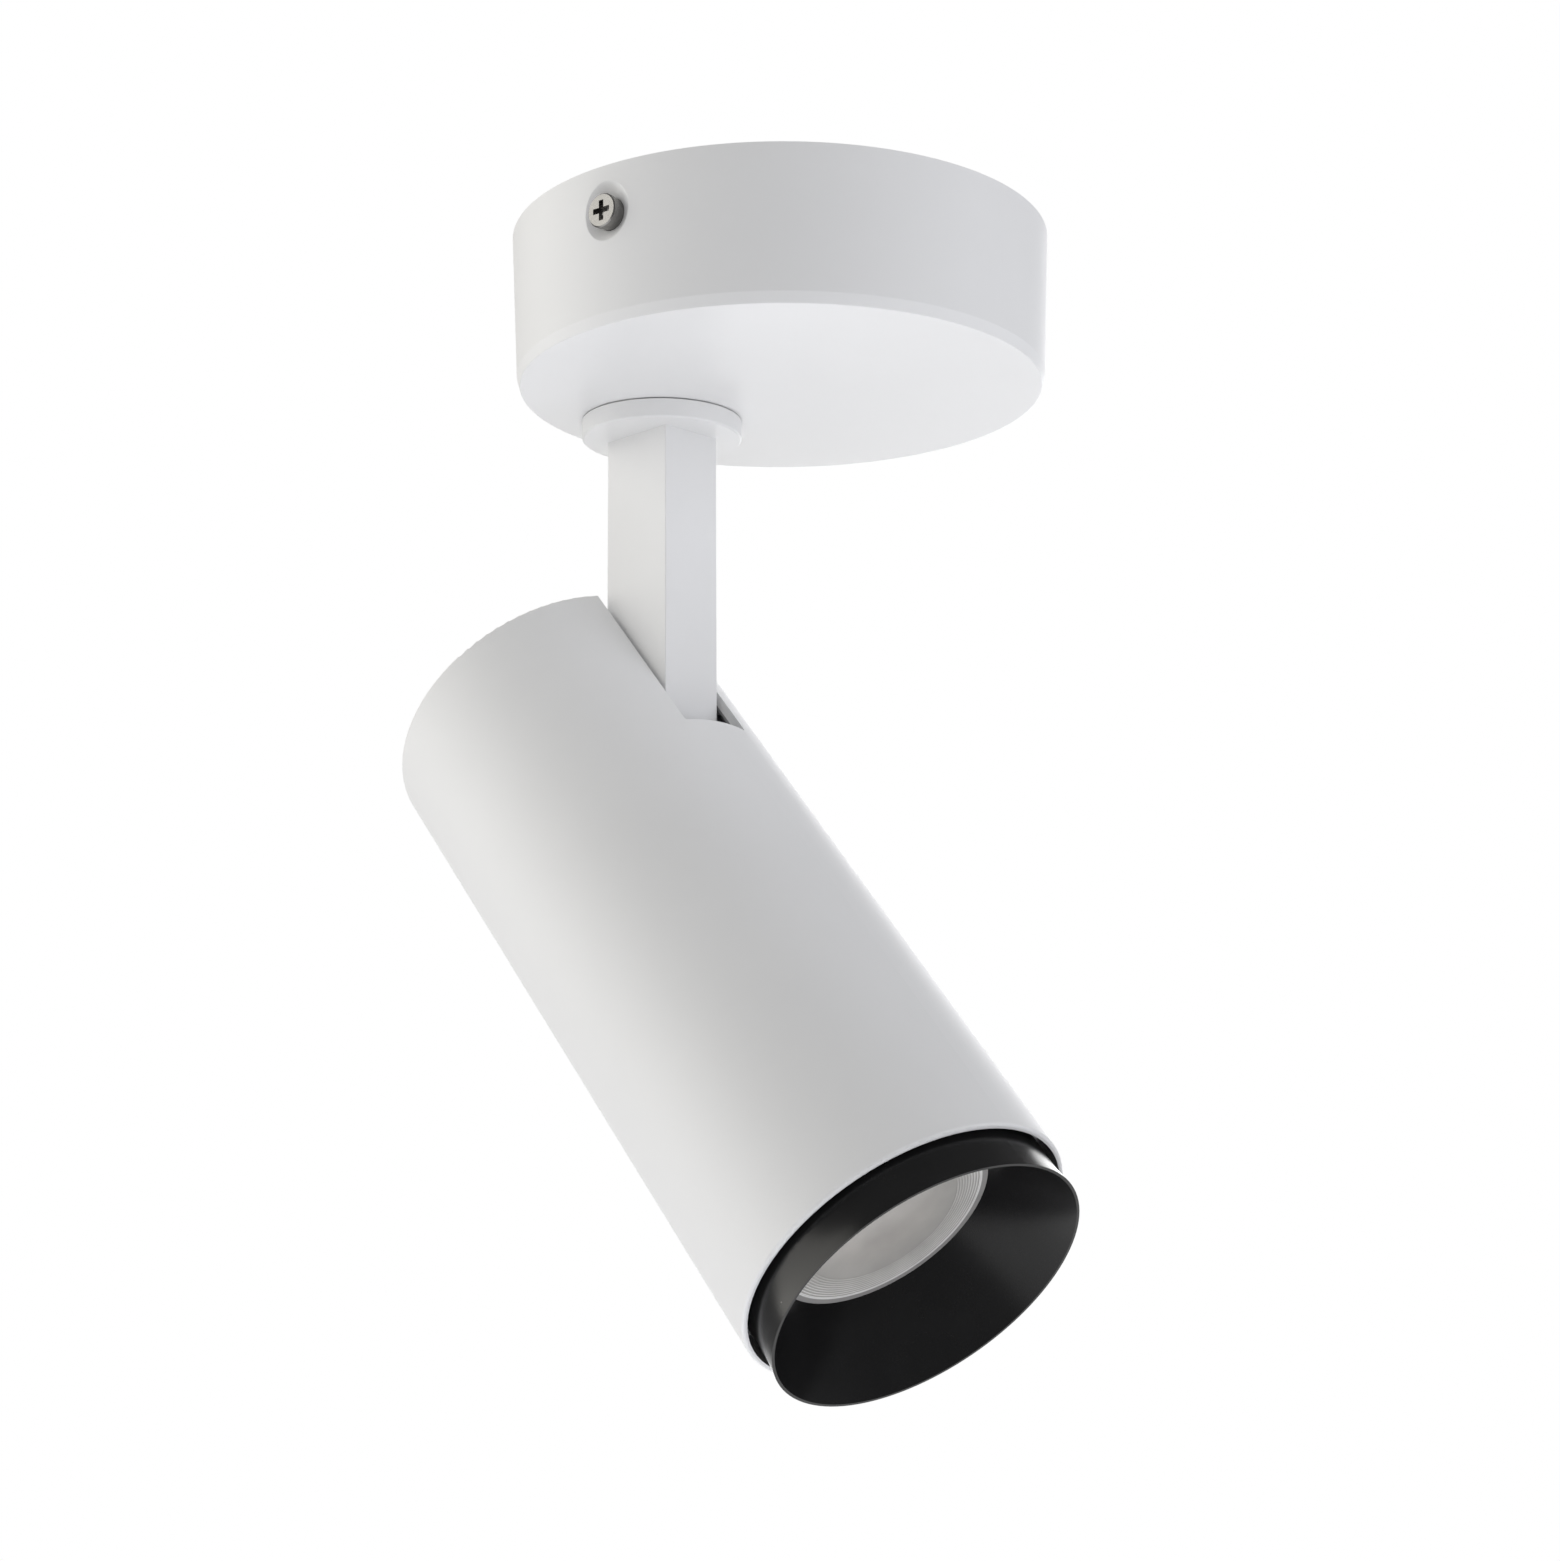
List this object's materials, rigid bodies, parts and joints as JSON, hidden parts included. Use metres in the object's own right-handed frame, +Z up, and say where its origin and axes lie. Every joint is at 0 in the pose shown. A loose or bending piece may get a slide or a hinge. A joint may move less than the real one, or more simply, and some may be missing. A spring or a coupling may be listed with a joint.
{
  "type": "adjustable ceiling spotlight",
  "caption": "Surface-mounted ceiling spotlight: round canopy, offset swivelling arm and tilting tube head with a black flared bezel, moulded lens and built-in driver.",
  "frame": {"origin": "centre of the canopy's ceiling face, midway between the fixing slots of the ceiling bracket", "axes": "+Z up into the ceiling, Y through the two side screws, the swivel on the -X side"},
  "size_m": [0.1401, 0.0994, 0.2086],
  "materials": {
    "white_steel": "matt powder coat",
    "white_aluminium": "matt white powder coat",
    "black_aluminium": "satin black",
    "bare_aluminium": "machined",
    "zinc_steel": "zinc plated",
    "nickel_steel": "nickel plated",
    "brass": "turned",
    "white_plastic": "moulded",
    "black_plastic": "moulded",
    "green_board": "solder mask",
    "yellow_phosphor": "phosphor",
    "grey_rubber": "soft",
    "black_rubber": "soft",
    "clear_lens": "clear moulded",
    "white_cable": "sheath"
  },
  "bodies": {
    "canopy": {"canopy": "white_steel", "canopy_screws": "nickel_steel", "ceiling_bracket": "zinc_steel", "bracket_lugs": "zinc_steel", "earth_screw": "brass", "cable_grommet": "black_rubber", "driver_pad": "grey_rubber", "driver_case": "white_plastic", "driver_lid": "white_plastic", "driver_board": "green_board", "driver_transformer": "black_plastic", "driver_capacitors": "black_plastic", "terminal_pad": "grey_rubber", "terminal_block": "white_plastic", "terminal_screws": "zinc_steel", "driver_leads": "black_rubber", "driver_cable": "white_cable", "stop_post": "zinc_steel"},
    "arm": {"swivel_gasket": "black_rubber", "swivel_flange": "white_aluminium", "swivel_nipple": "zinc_steel", "friction_washer": "black_plastic", "stop_washer": "zinc_steel", "spring_washer": "zinc_steel", "swivel_nut": "zinc_steel", "arm": "white_aluminium", "arm_cable": "white_cable"},
    "head": {"head_tube": "white_aluminium", "rear_cap": "white_aluminium", "pivot_bracket": "zinc_steel", "pivot_bolt": "zinc_steel", "pivot_nut": "zinc_steel", "pivot_washers": "black_plastic", "bracket_screws": "zinc_steel", "heat_sink": "bare_aluminium", "thermal_pad": "grey_rubber", "led_board": "bare_aluminium", "led_phosphor": "yellow_phosphor", "led_holder": "white_plastic", "holder_screws": "zinc_steel", "head_cable": "white_cable", "lens": "clear_lens", "lens_holder": "black_plastic", "front_ring": "bare_aluminium", "bezel": "black_aluminium"}
  },
  "joints": [
    {"name": "pan", "type": "hinge", "parent": "canopy", "child": "arm", "pos_m": [-0.0282, 0, 0], "axis": [0, 0, 1], "range_deg": [-158.5, 173.5]},
    {"name": "tilt", "type": "hinge", "parent": "arm", "child": "head", "pos_m": [-0.0282, 0, -0.0852], "axis": [-0.1305, -0.9914, 0], "range_deg": [-41.3, 48.7]}
  ]
}
